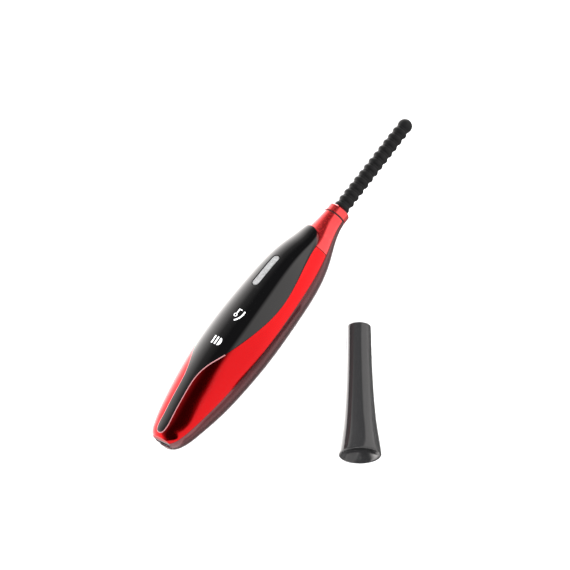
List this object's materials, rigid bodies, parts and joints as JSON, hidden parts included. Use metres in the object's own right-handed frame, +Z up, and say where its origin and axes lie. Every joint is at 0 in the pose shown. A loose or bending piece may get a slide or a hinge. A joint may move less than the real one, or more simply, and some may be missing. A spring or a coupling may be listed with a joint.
{
  "type": "heated eyelash curler",
  "caption": "Pen-shaped heated eyelash curler with a ribbed comb wand, glossy control panel and a clear pull-off cap lying beside it.",
  "frame": {"origin": "centre of the flat behind the handle's left flank, on which it lies", "axes": "+X along the handle towards the wand's tip, +Z up from the table, the panel's normal rolled 30 degrees from +Z towards +Y"},
  "size_m": [0.151, 0.0773, 0.025],
  "materials": {
    "red_shell": "clear-coated candy red",
    "wine_shell": "clear-coated dark wine",
    "black_panel": "piano black",
    "pink_trim": "gloss",
    "silver_key": "fine speckle",
    "switch_stem": "moulded",
    "switch_metal": "pressed tin",
    "clear_guide": "frosted clear",
    "board_laminate": "solder mask",
    "screw_steel": "zinc plated",
    "led_resin": "cast resin",
    "chip_resin": "moulded epoxy",
    "socket_metal": "drawn shell",
    "cell_wrap": "shrink wrap",
    "holder_plastic": "moulded",
    "foam_pad": "closed-cell foam",
    "lead_jacket": "silicone jacket",
    "ceramic_core": "fired ceramic",
    "film_foil": "etched foil",
    "sensor_glass": "glass bead",
    "black_bushing": "heat-resistant",
    "black_comb": "satin moulded",
    "black_ring": "moulded",
    "smoke_cap": "smoke-grey clear plastic",
    "grey_disc": "smoke-grey plastic"
  },
  "bodies": {
    "handle": {"front_shell": "red_shell", "neck_cover": "red_shell", "neck_collar": "red_shell", "rear_shell": "wine_shell", "front_panel": "black_panel", "panel_trim": "pink_trim", "switch_body": "switch_metal", "light_guide": "clear_guide", "circuit_board": "board_laminate", "board_screws": "screw_steel", "status_leds": "led_resin", "control_chip": "chip_resin", "charging_socket": "socket_metal", "battery_cell": "cell_wrap", "battery_holder": "holder_plastic", "battery_pad": "foam_pad", "battery_leads": "lead_jacket", "heater_leads": "lead_jacket", "heater_core": "ceramic_core", "heater_film": "film_foil", "temperature_sensor": "sensor_glass", "wand_bushing": "black_bushing", "comb_sleeve": "black_comb", "grip_ring": "black_ring"},
    "key": {"power_key": "silver_key", "switch_plunger": "switch_stem"},
    "cap": {"cap_shell": "smoke_cap", "cap_end_disc": "grey_disc"}
  },
  "joints": [
    {"name": "power_key_press", "type": "slide", "parent": "handle", "child": "key", "axis": [0, -0.5, -0.866], "range_m": [0, 0.0005], "stiffness_N_per_m": 1500},
    {"name": "cap_pull", "type": "slide", "parent": "handle", "child": "cap", "axis": [0.8104, 0.5823, -0.0652], "range_m": [-0.048, 0]}
  ]
}
